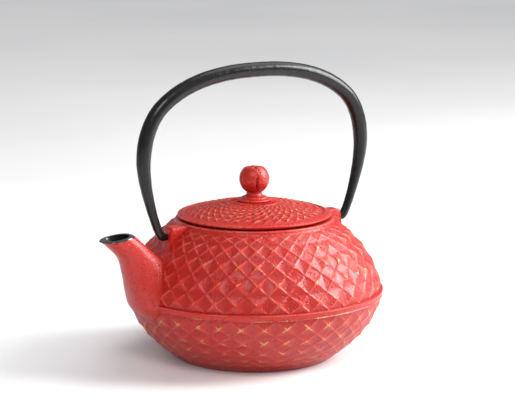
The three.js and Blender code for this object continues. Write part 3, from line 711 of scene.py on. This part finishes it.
# %% Knob
KNOB_MIDDLE, KNOB_RADIUS, KNOB_TOP = 103.4, 8.72, 110.85
GROOVE_ANGLE = math.radians(-110.7)
knob_columns = 240
knob_turn = np.arange(knob_columns) * 2 * np.pi / knob_columns + GROOVE_ANGLE
from_groove = np.degrees((knob_turn - GROOVE_ANGLE + np.pi / 5) % (2 * np.pi / 5) - np.pi / 5)
rise_angle = np.radians(np.linspace(-52.2, 50.4, 46))
rise_degrees = np.degrees(rise_angle)
up_the_ball = smoothstep(rise_degrees, -52, -38) * (1 - smoothstep(rise_degrees, -2, 30))
GROOVE_WIDTH, GROOVE_DEPTH = 4.6, 0.13  # in degrees, and as a share of the radius
groove = np.exp(-((from_groove / GROOVE_WIDTH) ** 2))[None] * up_the_ball[:, None]
ball_radius = KNOB_RADIUS * (1 - GROOVE_DEPTH * groove)
ball = around(
    knob_turn,
    ball_radius * np.cos(rise_angle)[:, None],
    KNOB_MIDDLE + ball_radius * np.sin(rise_angle)[:, None],
)
FLOWER_REACH = 5.45
flower_radius = np.array(
    [FLOWER_REACH, 5.3, 5.1, 4.9, 4.6, 4.2, 3.7, 3.2, 2.7, 2.2, 1.8, 1.4, 1.1, 0.8, 0.45]
)[:, None]
petal = np.abs(np.cos(np.radians(from_groove + 36) * 2.5)) ** 0.6
petal_gap = 0.9 * (1 - petal)[None] * smoothstep(flower_radius, 0.9, 1.9)
dip = 0.35 * np.exp(-(((flower_radius - 1.5) / 0.35) ** 2))
dip = dip + 0.3 * np.exp(-(((flower_radius - 5.2) / 0.18) ** 2))
flower_height = KNOB_TOP + 0.1 - 0.8 * (flower_radius / FLOWER_REACH) ** 2.5 - petal_gap - dip
flower = around(knob_turn, flower_radius, flower_height)
hole = ring_at([[1.2, 104.5], [SCREW_HOLE, 104.5], [SCREW_HOLE, 96.7], [2.6, 96.5]], knob_turn)
knob = add_mesh("knob_ball", skin(np.vstack([hole, ball, flower])), 42)
with_finish(knob, red_enamel)
# Painted shade: the rise mask is lowered in the grooves and the gaps between the petals, so the red is
# painted darker there.
knob_painted_shade = np.vstack([
    np.full((len(hole), knob_columns), 0.5),
    0.5 - 1.6 * groove,
    0.6 - np.clip(2.2 * petal_gap + 1.5 * dip, 0, 1.5) + 0 * knob_turn,
])
knob_edge = np.vstack([
    np.zeros((len(hole) + len(rise_angle), knob_columns)),
    0.55 * petal[None] * smoothstep(flower_radius, 1.2, 3.5),
])
paint(
    knob,
    rise=np.concatenate([knob_painted_shade.ravel(), [0.5, 0.8]]),
    gold=np.zeros(len(knob.data.vertices)),
    ridge=np.concatenate([knob_edge.ravel(), [0, 0.3]]),
)
finished(knob, "cover", "red_enamel", "knob")

# %% Knob collar, washer and screw
collar_outline = rounded(
    [[SCREW_HOLE, 90.76], [9.5, 90.76], [10.0, 91.2], [9.8, 91.9], [7.6, 92.3], [7.2, 93.1],
     [5.4, 93.7], [4.6, 94.6], [4.5, 95.4], [4.6, 96.2], [SCREW_HOLE, 96.2]],
    0.45,
)
knob_collar = with_finish(turned_piece("knob_foot", collar_outline), red_enamel)
collar_points = points_of(knob_collar)
collar_out = np.hypot(collar_points[:, 0], collar_points[:, 1])
paint(
    knob_collar,
    rise=0.35 + 0.4 * smoothstep(collar_out, 4, 9.5),
    gold=0 * collar_out,
    ridge=0.7 * smoothstep(collar_out, 9.2, 9.7) + 0.6 * np.exp(-(((collar_out - 7.1) / 0.25) ** 2)),
)
finished(knob_collar, "cover", "red_enamel", "knob_collar")
stainless = bpy.data.materials.new("brushed_stainless")


def steel_ring(name, outline, rounding, columns, body, packed):
    """A turned ring of bare steel with rounded edges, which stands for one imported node."""
    ring = turned_piece(name, rounded(outline, rounding), columns)
    return finished(with_finish(ring, stainless), body, "stainless", packed)


washer_outline = [[SCREW_HOLE, 86.2], [5.6, 86.2], [5.6, 87.2], [SCREW_HOLE, 87.2]]
steel_ring("lid_washer", washer_outline, 0.25, 64, "cover", "knob_washer")
screw_outline = [[1.0, 83.5], [2.6, 83.52], [3.3, 83.75], [3.8, 84.2], [4.0, 84.8], [4.0, 85.75],
                 [3.85, 85.9], [2.0, 85.9], [2.0, 103.0], [1.5, 103.5], [0.8, 103.5]]
knob_screw = with_finish(add_mesh("lid_screw", skin(turned(screw_outline, 48))), stainless)
slot_corners = ((-5, -0.5), (5, -0.5), (5, 0.5), (-5, 0.5))
slot_points = np.array([[x, y, z] for z in (82.5, 84.6) for x, y in slot_corners])
slot_tool = with_finish(add_mesh("slot", skin(slot_points.reshape(2, 4, 3))), stainless)
boolean(knob_screw, [slot_tool], "DIFFERENCE")
finished(knob_screw, "cover", "stainless", "knob_screw")

# %% [markdown]
# ## The bail handle
# The handle is a steel bar, thickest over the top and drawn down along each arm to a short pin that
# turns in the lug. It is one sweep: a ring of points carried along a smooth line through measured
# places, square to the line everywhere, with its radius falling with the distance from the pin.

# %% Bail handle
BAIL_RISE, LEAN = 91.8, math.radians(1.6)
SPREAD, KNEE = LUG_REACH + 15.2, LUG_REACH + 4.6
PIN_RADIUS, BAR_RADIUS = 1.8, 4.3
arm_shares = [[0.273, 0.989], [0.525, 0.948], [0.738, 0.872], [0.884, 0.775], [0.968, 0.647],
              [1, 0.489], [0.985, 0.358], [0.955, 0.25], [0.904, 0.115]]
arm = np.array(
    [[x * SPREAD, z * BAIL_RISE] for x, z in arm_shares]
    + [[KNEE, 2.2], [(KNEE + LUG_REACH) / 2 + 0.4, 0.2], [LUG_REACH - 1, 0], [LUG_REACH - 5, 0]]
)
bail_line, bail_run = smooth_path(np.vstack([arm[::-1], [[0, BAIL_RISE]], arm * [-1, 1]]), 1.25)
from_pin = np.minimum(bail_run, bail_run[-1] - bail_run)
slim = PIN_RADIUS + 0.7 * smoothstep(from_pin, 4.6, 9.6)
bail_radius = slim + (BAR_RADIUS - slim) * smoothstep(from_pin, 13.6, 66)
bail_radius = bail_radius + 0.03 * np.sin(bail_run * 0.9) * np.sin(bail_run * 0.23)  # the hammer's waves
bail_radius[[0, -1]] -= 0.4  # the pins' ends are drawn in
along = np.gradient(bail_line, axis=0)
along /= np.linalg.norm(along, axis=1)[:, None]
bail_turn = np.arange(36) * 2 * np.pi / 36
out_x, out_z = along[:, 1:], -along[:, :1]
reach, side = bail_radius[:, None] * np.cos(bail_turn), bail_radius[:, None] * np.sin(bail_turn)
x = bail_line[:, :1] + out_x * reach
z = bail_line[:, 1:] + out_z * reach
bail_grid = np.stack([
    x, side * math.cos(LEAN) - z * math.sin(LEAN), HINGE + side * math.sin(LEAN) + z * math.cos(LEAN)
], -1)
bail_handle = add_mesh("bail_bar", skin(bail_grid))
black_steel = bpy.data.materials.new("satin_black_steel")
with_finish(bail_handle, black_steel)
finished(bail_handle, "bail", "black_steel", "bail_handle")
print("bail bar", round(float(bail_run[-1]), 1), "mm long")

# %% [markdown]
# ## The strainer
# The strainer is a cylinder of woven wire between a pressed rim and a base ring, closed by a disc of
# the same mesh. An image of holes would do at a distance, but the lid lifts off, so the wires are
# real: upright ones, hoops that pass inside and outside them in turn, and two crossing sets below.

# %% Strainer
def prisms(start, end, radius, sides=4):
    """A thin closed bar from each start to each end: a ring of points square to the bar at both
    ends, joined by triangles, with a cap on each."""
    along = end - start
    along = along / np.linalg.norm(along, axis=1)[:, None]
    helper = np.where(np.abs(along[:, 2:]) > 0.9, [[1.0, 0, 0]], [[0, 0, 1.0]])
    u = np.cross(along, helper)
    u /= np.linalg.norm(u, axis=1)[:, None]
    v = np.cross(along, u)
    turn = np.arange(sides) * 2 * np.pi / sides
    ring = radius * (u[:, None] * np.cos(turn)[:, None] + v[:, None] * np.sin(turn)[:, None])
    points = np.stack([start[:, None] + ring, end[:, None] + ring], 1).reshape(-1, 3)
    k = np.arange(sides)
    after = (k + 1) % sides
    wall = np.concatenate([
        np.stack([k, after, after + sides], -1), np.stack([k, after + sides, k + sides], -1)
    ])
    fan = np.stack([np.zeros(sides - 2, int), k[2:], k[1:-1]], -1)
    one = np.concatenate([wall, fan, fan[:, ::-1] + sides])
    return points, (one[None] + np.arange(len(start))[:, None, None] * 2 * sides).reshape(-1, 3)


UPRIGHTS, HOOPS, MESH_RADIUS, WIRE = 330, 61, 34.2, 0.12
wire_turn = np.arange(UPRIGHTS) * 2 * np.pi / UPRIGHTS
circle = np.stack([np.cos(wire_turn), np.sin(wire_turn)], -1) * MESH_RADIUS
wire_ends = (np.column_stack([circle, np.full(UPRIGHTS, height)]) for height in (40.75, 79.15))
uprights = prisms(*wire_ends, WIRE)


def hoop(radius, height, wire=0.11):
    """A ring of square wire on its corner."""
    outline = [
        [radius, height - wire], [radius + wire, height], [radius, height + wire], [radius - wire, height]
    ]
    return skin(turned(outline, 100), loop=True)


hoops = [hoop(MESH_RADIUS + (0.15 if k % 2 else -0.15), 41.2 + 0.62 * k) for k in range(HOOPS)]
strainer_mesh = bpy.data.materials.new("woven_wire")
infuser_wall = with_finish(add_mesh("strainer_wall", joined([uprights] + hoops)), strainer_mesh)
finished(infuser_wall, "strainer", "strainer_mesh", "infuser_wall")
DISC_RADIUS, DISC_HEIGHT, WIRE_SPACING = 32.6, 41.0, 0.69
offsets = np.arange(-46, 47) * WIRE_SPACING
half_chord = np.sqrt(DISC_RADIUS**2 - offsets**2)
level = np.full(len(offsets), DISC_HEIGHT)
one_way = prisms(*(np.column_stack([offsets, end, level - 0.1]) for end in (-half_chord, half_chord)), WIRE)
other_way = prisms(*(np.column_stack([end, offsets, level + 0.1]) for end in (-half_chord, half_chord)), WIRE)
edge_wire = skin(turned([[32.5, 40.8], [32.7, 41.0], [32.5, 41.2], [32.3, 41.0]], 120), loop=True)
floor_wires = joined([one_way, other_way, edge_wire])
infuser_floor = with_finish(add_mesh("strainer_floor", floor_wires), strainer_mesh)
finished(infuser_floor, "strainer", "strainer_mesh", "infuser_floor")
rim_outline = [[33.0, 74.5], [33.6, 74.5], [33.6, 79.2], [33.9, 79.5], [38.5, 79.5], [38.5, 80.3],
               [33.6, 80.3], [33.0, 79.7]]
steel_ring("strainer_rim", rim_outline, 0.3, 120, "strainer", "infuser_rim")
base_outline = [[30.9, 39.2], [34.5, 39.2], [34.5, 40.4], [33.6, 40.4], [33.6, 43.4], [33.0, 43.4],
                [33.0, 40.4], [30.9, 40.4]]
steel_ring("strainer_base_ring", base_outline, 0.25, 120, "strainer", "infuser_base_ring")

# %% [markdown]
# ## Surface effects as node groups
# Cast grain and brushed gold appear on several pieces, so each is a node group: a small tree with
# named inputs and outputs, built once and placed in every material that needs it. A group only
# works out numbers; the shader that uses them stays in the material.

# %% Helpers for node trees
def node(tree, kind, values=(), **settings):
    """A node with its settings, and its inputs set to numbers or linked from other nodes' sockets."""
    made = tree.nodes.new("ShaderNode" + kind)
    for name, value in settings.items():
        setattr(made, name, value)
    for key, value in dict(values).items():
        if isinstance(value, bpy.types.NodeSocket):
            tree.links.new(value, made.inputs[key])
        else:
            made.inputs[key].default_value = value
    return made


def maths(tree, operation, a, b=0.0, c=0.0):
    """The result of one sum on numbers or sockets."""
    return node(tree, "Math", {0: a, 1: b, 2: c}, operation=operation).outputs[0]


def noise(tree, place, scale, detail=3):
    """A noise with about `scale` lumps in a metre."""
    return node(tree, "TexNoise", {"Vector": place, "Scale": scale, "Detail": detail}).outputs[0]


def between(tree, value, low, high, to_low=0.0, to_high=1.0, kind="SMOOTHSTEP"):
    """The value moved from one range to another, and held at its ends."""
    sockets = {0: value, 1: low, 2: high, 3: to_low, 4: to_high}
    return node(tree, "MapRange", sockets, interpolation_type=kind).outputs[0]


def blend(tree, share, a, b):
    """A colour from a to b."""
    mix = node(tree, "Mix", {0: share}, data_type="RGBA")
    for socket, value in ((mix.inputs[6], a), (mix.inputs[7], b)):
        if isinstance(value, bpy.types.NodeSocket):
            tree.links.new(value, socket)
        else:
            socket.default_value = (*value, 1)
    return mix.outputs[2]


def new_group(name, inputs, outputs):
    """An empty group with number sockets: its tree, and the sockets inside it of both its ends."""
    tree = bpy.data.node_groups.new(name, "ShaderNodeTree")
    for label, value in inputs.items():
        socket = tree.interface.new_socket(label, in_out="INPUT", socket_type="NodeSocketFloat")
        socket.default_value = value
    for label in outputs:
        tree.interface.new_socket(label, in_out="OUTPUT", socket_type="NodeSocketFloat")
    return tree, tree.nodes.new("NodeGroupInput").outputs, tree.nodes.new("NodeGroupOutput").inputs


def use_group(tree, group, **values):
    """One use of a group in a material, with its inputs set by name."""
    made = tree.nodes.new("ShaderNodeGroup")
    made.node_tree = group
    for label, value in values.items():
        socket = made.inputs[label.replace("_", " ")]
        if isinstance(value, bpy.types.NodeSocket):
            tree.links.new(value, socket)
        else:
            socket.default_value = value
    return made.outputs


# %% Cast grain: a height, the pits in it, and large soft patches
grain_tree, grain_in, grain_out = new_group(
    "cast_grain", {"Fineness": 1.0, "Pitting": 1.0}, ["Height", "Pits", "Patches"]
)
place = node(grain_tree, "TexCoord").outputs["Object"]
fineness = [maths(grain_tree, "MULTIPLY", grain_in[0], scale) for scale in (1500, 380, 420)]
sand = noise(grain_tree, place, fineness[0])
lumps = noise(grain_tree, place, fineness[1], 2)
cells = node(grain_tree, "TexVoronoi", {"Vector": place, "Scale": fineness[2]}).outputs["Distance"]
pits = maths(grain_tree, "MULTIPLY", between(grain_tree, cells, 0.34, 0.1), grain_in[1])
height = maths(grain_tree, "MULTIPLY_ADD", sand, 0.45, maths(grain_tree, "MULTIPLY", lumps, 0.6))
grain_tree.links.new(maths(grain_tree, "MULTIPLY_ADD", pits, -0.4, height), grain_out["Height"])
grain_tree.links.new(pits, grain_out["Pits"])
grain_tree.links.new(noise(grain_tree, place, 42.0), grain_out["Patches"])

# %% Gold touches: the brushed mask, broken up as a dry brush leaves it
gold_tree, gold_in, gold_out = new_group("gold_touches", {"Mask": 0.0, "Dryness": 0.8}, ["Gold"])
place = node(gold_tree, "TexCoord").outputs["Object"]
bristles = noise(gold_tree, place, 1300.0)
broken = maths(gold_tree, "MULTIPLY", maths(gold_tree, "SUBTRACT", bristles, 0.5), gold_in[1])
left = maths(gold_tree, "ADD", gold_in[0], broken)
gold_tree.links.new(between(gold_tree, left, 0.3, 0.48), gold_out["Gold"])

# %% [markdown]
# ## Red and black enamel
# The enamel is thin glass over rough iron: worn lighter along the ridges, and brushed with gold on
# the points. Its red is also painted darker in the valleys, the knob's grooves, under the lid's edge
# and under the foot, as painted shade. Painting an image would fix the pattern to one view; masks
# painted on the mesh and noise in the piece's own space follow every pyramid.

# %% Helpers for the materials
def mask(tree, name):
    """A mask that was painted on the piece."""
    return node(tree, "Attribute", attribute_name=name, attribute_type="GEOMETRY").outputs["Fac"]


def shader(material):
    """The material's node tree and its Principled shader."""
    material.use_nodes = True
    return material.node_tree, material.node_tree.nodes["Principled BSDF"]


def connect(tree, bsdf, **sockets):
    """Links sockets, or sets values, on the shader's inputs by name."""
    for label, value in sockets.items():
        socket = bsdf.inputs[label.replace("_", " ")]
        if isinstance(value, bpy.types.NodeSocket):
            tree.links.new(value, socket)
        else:
            socket.default_value = value


def bump(tree, height, distance):
    """The surface's direction, tilted as a height map of this depth in metres would tilt it."""
    return node(tree, "Bump", {"Height": height, "Distance": distance, "Strength": 1.0}).outputs[0]


# %% Red and black
# The darkest red is painted shade in the valleys and creases, and also the colour of the cast pits.
SHADE_AND_PIT_RED, RED, PATCH_RED = (0.08, 0.003, 0.003), (0.43, 0.008, 0.003), (0.31, 0.006, 0.004)
WORN_RED, GOLD = (0.68, 0.12, 0.08), (0.44, 0.28, 0.11)
tree, bsdf = shader(red_enamel)
grain = use_group(tree, grain_tree, Fineness=1.0, Pitting=1.0)
touch = use_group(tree, gold_tree, Mask=mask(tree, "gold"), Dryness=0.8)["Gold"]
# Painted shade: the red is painted darker where the rise mask is low, in the valleys, the knob's grooves and
# petal gaps, under the lid's edge and under the foot.
painted_shade_mix = between(tree, mask(tree, "rise"), -1.0, 0.35, kind="LINEAR")
colour = blend(tree, painted_shade_mix, SHADE_AND_PIT_RED, RED)
patched = blend(tree, between(tree, grain["Patches"], 0.35, 0.65, 0.0, 0.35), colour, PATCH_RED)
rubbed = maths(tree, "MULTIPLY", grain["Height"], between(tree, grain["Patches"], 0.35, 0.6, 0.6, 1.2))
worn = maths(tree, "MULTIPLY", mask(tree, "ridge"), between(tree, rubbed, 0.3, 0.62, 0.05, 0.5))
worn_colour = blend(tree, worn, patched, WORN_RED)
pitted = blend(tree, maths(tree, "MULTIPLY", grain["Pits"], 0.35), worn_colour, SHADE_AND_PIT_RED)
rough = maths(tree, "MULTIPLY_ADD", grain["Patches"], 0.2, 0.25)
connect(
    tree, bsdf,
    Base_Color=blend(tree, touch, pitted, GOLD),
    Metallic=maths(tree, "MULTIPLY", touch, 0.6),
    Roughness=maths(tree, "MULTIPLY_ADD", worn, 0.12, rough),
    Specular_IOR_Level=0.45, Coat_Weight=0.08, Coat_Roughness=0.16,
    Normal=bump(tree, grain["Height"], 0.00048),
)

tree, bsdf = shader(lining_enamel)
grain = use_group(tree, grain_tree, Fineness=0.7, Pitting=0.3)
connect(
    tree, bsdf,
    Base_Color=blend(tree, grain["Patches"], (0.008, 0.008, 0.009), (0.022, 0.021, 0.021)),
    Roughness=between(tree, grain["Patches"], 0.3, 0.7, 0.16, 0.3),
    Coat_Weight=0.5, Coat_Roughness=0.08,
    Normal=bump(tree, grain["Height"], 0.00012),
)

# %% [markdown]
# ## Steel
# The handle is lacquered black and satin, with the hammer's faint waves under the lacquer. The
# washer and screw are bare stainless, brushed round their axis, so their noise is stretched in
# height; the strainer is bare stainless with even noise. Both are plain Principled metals; the life
# comes from uneven roughness.

# %% Steels
tree, bsdf = shader(black_steel)
grain = use_group(tree, grain_tree, Fineness=0.8, Pitting=0.5)
connect(
    tree, bsdf,
    Base_Color=blend(tree, grain["Patches"], (0.003, 0.0027, 0.0025), (0.008, 0.007, 0.0065)),
    Roughness=between(tree, grain["Patches"], 0.3, 0.7, 0.22, 0.34),
    Specular_IOR_Level=0.34,
    Normal=bump(tree, grain["Height"], 0.00012),
)


def brushed(material, colour, rough_low, rough_high, stretch):
    """Bare metal whose noise is drawn out, as fine brushing leaves it."""
    tree, bsdf = shader(material)
    place = node(tree, "TexCoord").outputs["Object"]
    drawn = node(tree, "Mapping", {"Vector": place, "Scale": stretch}).outputs[0]
    lines = noise(tree, drawn, 1.0)
    darker = tuple(0.78 * channel for channel in colour)
    connect(
        tree, bsdf,
        Base_Color=blend(tree, lines, darker, colour),
        Metallic=1.0,
        Roughness=between(tree, lines, 0.3, 0.7, rough_low, rough_high),
        Normal=bump(tree, lines, 0.00004),
    )


brushed(stainless, (0.62, 0.62, 0.63), 0.2, 0.36, (300, 300, 5200))
brushed(strainer_mesh, (0.56, 0.56, 0.57), 0.28, 0.42, (900, 900, 900))

# %% [markdown]
# ## Table, light and camera
# The pot stands on a plain pale table. One big soft light at the right stands for a window. A weaker
# one hangs overhead in front, a third fills the shade without a reflection of its own, and a broad
# sky and a pale world close the rest. The camera has a long lens, so the pot's circles stay shallow.

# %% Stage
VIEW_AZIMUTH, VIEW_ELEVATION = math.radians(-31.7), math.radians(12.9)
to_camera = Vector((
    math.sin(VIEW_AZIMUTH) * math.cos(VIEW_ELEVATION),
    -math.cos(VIEW_AZIMUTH) * math.cos(VIEW_ELEVATION),
    math.sin(VIEW_ELEVATION),
))
view_right = Vector((math.cos(VIEW_AZIMUTH), math.sin(VIEW_AZIMUTH), 0))
view_away = Vector((-math.sin(VIEW_AZIMUTH), math.cos(VIEW_AZIMUTH), 0))

HALF_TABLE = 4000
table_corners = np.array([[-1, -1, 0], [1, -1, 0], [1, 1, 0], [-1, 1, 0]]) * HALF_TABLE
floor = add_mesh("table_top", (table_corners, np.array([[0, 1, 2], [0, 2, 3]])))
table = bpy.data.materials.new("pale_table")
with_finish(floor, table)
tree, bsdf = shader(table)
place = node(tree, "TexCoord").outputs["Object"]
cloudy = noise(tree, place, 3.0)
connect(
    tree, bsdf,
    Base_Color=blend(tree, cloudy, (0.87, 0.87, 0.87), (0.91, 0.905, 0.90)),
    Roughness=between(tree, cloudy, 0.3, 0.7, 0.3, 0.38),
    Specular_IOR_Level=0.25,
)

world = bpy.data.worlds.new("studio")
bpy.context.scene.world = world
world.use_nodes = True
background = world.node_tree.nodes["Background"].inputs
background["Color"].default_value = (0.96, 0.97, 1.0, 1)
background["Strength"].default_value = 0.34
bpy.context.scene.view_settings.view_transform = "Standard"


def soft_light(name, right, away, up, size, watts, shows=True):
    """A square light at a place counted from the view's own right, away and up, facing the pot. One
    that doesn't show lights the pot but leaves no reflection on it."""
    lamp = bpy.data.lights.new(name, "AREA")
    lamp.shape, lamp.size, lamp.energy = "SQUARE", size, watts
    made = bpy.data.objects.new(name, lamp)
    made.visible_glossy = shows
    made.location = view_right * right + view_away * away + Vector((0, 0, up))
    made.rotation_euler = (Vector((0, 0, 0.06)) - made.location).to_track_quat("-Z", "Y").to_euler()
    bpy.context.scene.collection.objects.link(made)


soft_light("window", 1.1, 0.1, 0.66, 0.72, 31)
soft_light("overhead", -0.1, -0.85, 0.98, 0.4, 5)
soft_light("fill", -0.35, -1.3, 0.75, 0.7, 6, shows=False)
sky = bpy.data.lights.new("sky", "SUN")
sky.energy, sky.angle = 1.25, math.radians(50)
sky_object = bpy.data.objects.new("sky", sky)
sky_from = view_right * 0.5 + view_away * 0.35 + Vector((0, 0, 1))
sky_object.rotation_euler = sky_from.to_track_quat("Z", "Y").to_euler()
bpy.context.scene.collection.objects.link(sky_object)

# %% Camera
AIM_UP, AIM_RIGHT, DISTANCE = math.radians(2.18), math.radians(0.09), 1.2
ORBIT_HEIGHT, LENS, SENSOR = 0.0385, 143.65, 36
camera_data = bpy.data.cameras.new("camera")
camera_data.lens, camera_data.sensor_width = LENS, SENSOR
camera = bpy.data.objects.new("camera", camera_data)
camera.location = Vector((0, 0, ORBIT_HEIGHT)) + to_camera * DISTANCE
view_up = view_right.cross(-to_camera)
look = -to_camera + view_up * math.tan(AIM_UP) + view_right * math.tan(AIM_RIGHT)
camera.rotation_euler = look.to_track_quat("-Z", "Y").to_euler()
bpy.context.scene.collection.objects.link(camera)
bpy.context.scene.camera = camera
